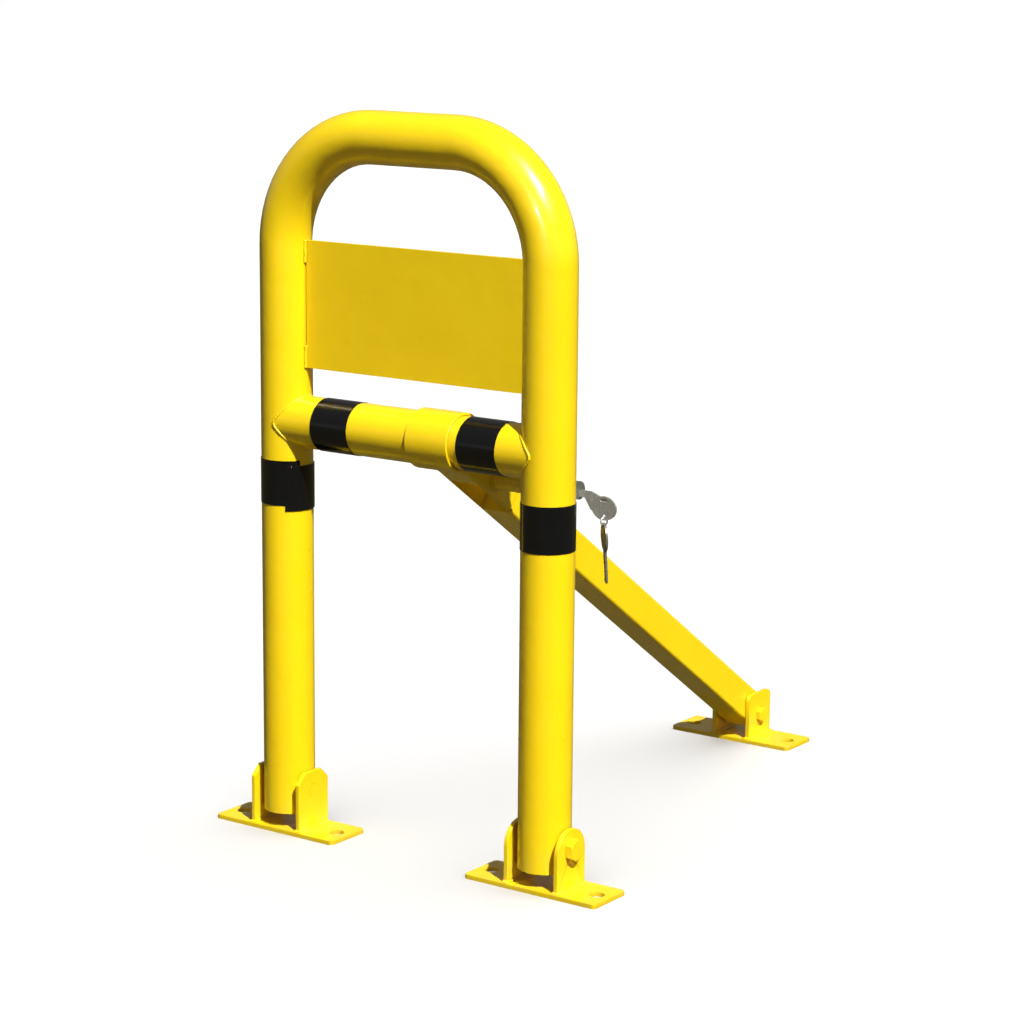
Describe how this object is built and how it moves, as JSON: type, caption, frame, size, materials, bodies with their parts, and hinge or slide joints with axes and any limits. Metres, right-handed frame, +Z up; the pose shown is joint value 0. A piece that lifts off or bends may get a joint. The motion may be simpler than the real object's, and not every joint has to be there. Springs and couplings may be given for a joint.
{
  "type": "folding parking lock",
  "caption": "Folding parking barrier: a bent tube frame on two ground hinges, held up by a sloping strut with a push-in key lock.",
  "frame": {"origin": "on the ground, midway between the front and rear hinge lines, in the middle of the frame's width", "axes": "+Z up, +X to the frame's right side where the lock's key is, -Y to the front, where the frame folds down"},
  "size_m": [0.437, 0.5812, 0.68],
  "materials": {
    "yellow_paint": "gloss",
    "black_tape": "gloss",
    "zinc_steel": "satin",
    "lock_metal": "gloss",
    "nickel": "gloss",
    "bush_bronze": "satin"
  },
  "bodies": {
    "ground": {"ground_plate_left": "yellow_paint", "ground_plate_right": "yellow_paint", "ground_plate_rear": "yellow_paint", "ear_left_outer": "yellow_paint", "ear_left_inner": "yellow_paint", "ear_right_inner": "yellow_paint", "ear_right_outer": "yellow_paint", "ear_rear_left": "yellow_paint", "ear_rear_right": "yellow_paint", "ear_welds_left": "yellow_paint", "ear_welds_right": "yellow_paint", "ear_welds_rear": "yellow_paint", "hinge_bolt_left": "yellow_paint", "hinge_bolt_right": "yellow_paint", "hinge_bolt_rear": "yellow_paint"},
    "frame": {"u_frame": "yellow_paint", "crossbar": "yellow_paint", "crossbar_welds": "yellow_paint", "sign_plate": "yellow_paint", "sign_welds": "yellow_paint", "leg_bush_left": "bush_bronze", "leg_bush_right": "bush_bronze", "tape_leg_left": "black_tape", "tape_leg_right": "black_tape", "tape_bar_left": "black_tape", "tape_bar_right": "black_tape"},
    "head": {"sleeve": "yellow_paint", "strut_head": "yellow_paint", "head_weld": "yellow_paint", "lock_housing": "yellow_paint", "housing_weld": "yellow_paint", "guide_screw": "zinc_steel", "spring_seat": "zinc_steel", "lock_spring": "zinc_steel"},
    "barrel": {"lock_barrel": "lock_metal", "lock_bolt": "zinc_steel", "plug_pin": "zinc_steel"},
    "plug": {"key_plug": "lock_metal", "lock_key": "nickel"},
    "spare": {"spare_key": "nickel", "key_ring": "nickel"},
    "strut": {"strut_tube": "yellow_paint", "strut_bush": "bush_bronze", "strut_cap": "yellow_paint", "strut_tongue": "yellow_paint", "tongue_weld": "yellow_paint"}
  },
  "joints": [
    {"name": "frame_fold", "type": "hinge", "parent": "ground", "child": "frame", "pos_m": [0, -0.2645, 0.0405], "axis": [1, 0, 0], "range_deg": [0, 90]},
    {"name": "head_swing", "type": "hinge", "parent": "frame", "child": "head", "pos_m": [0.033, -0.2645, 0.392], "axis": [1, 0, 0], "range_deg": [-14, 40]},
    {"name": "lock_push", "type": "slide", "parent": "head", "child": "barrel", "axis": [-1, 0, 0], "range_m": [0, 0.012], "stiffness_N_per_m": 400, "deforming": ["lock_spring"]},
    {"name": "key_turn", "type": "hinge", "parent": "barrel", "child": "plug", "pos_m": [0.124, -0.20552, 0.34804], "axis": [1, 0, 0], "range_deg": [0, 90]},
    {"name": "spare_key_swing", "type": "hinge", "parent": "plug", "child": "spare", "pos_m": [0.1667, -0.20552, 0.33019], "axis": [0, 1, 0], "range_deg": [-20, 20]},
    {"name": "strut_fold", "type": "hinge", "parent": "ground", "child": "strut", "pos_m": [0.033, 0.2645, 0.027], "axis": [1, 0, 0], "range_deg": [0, 34.18]}
  ]
}
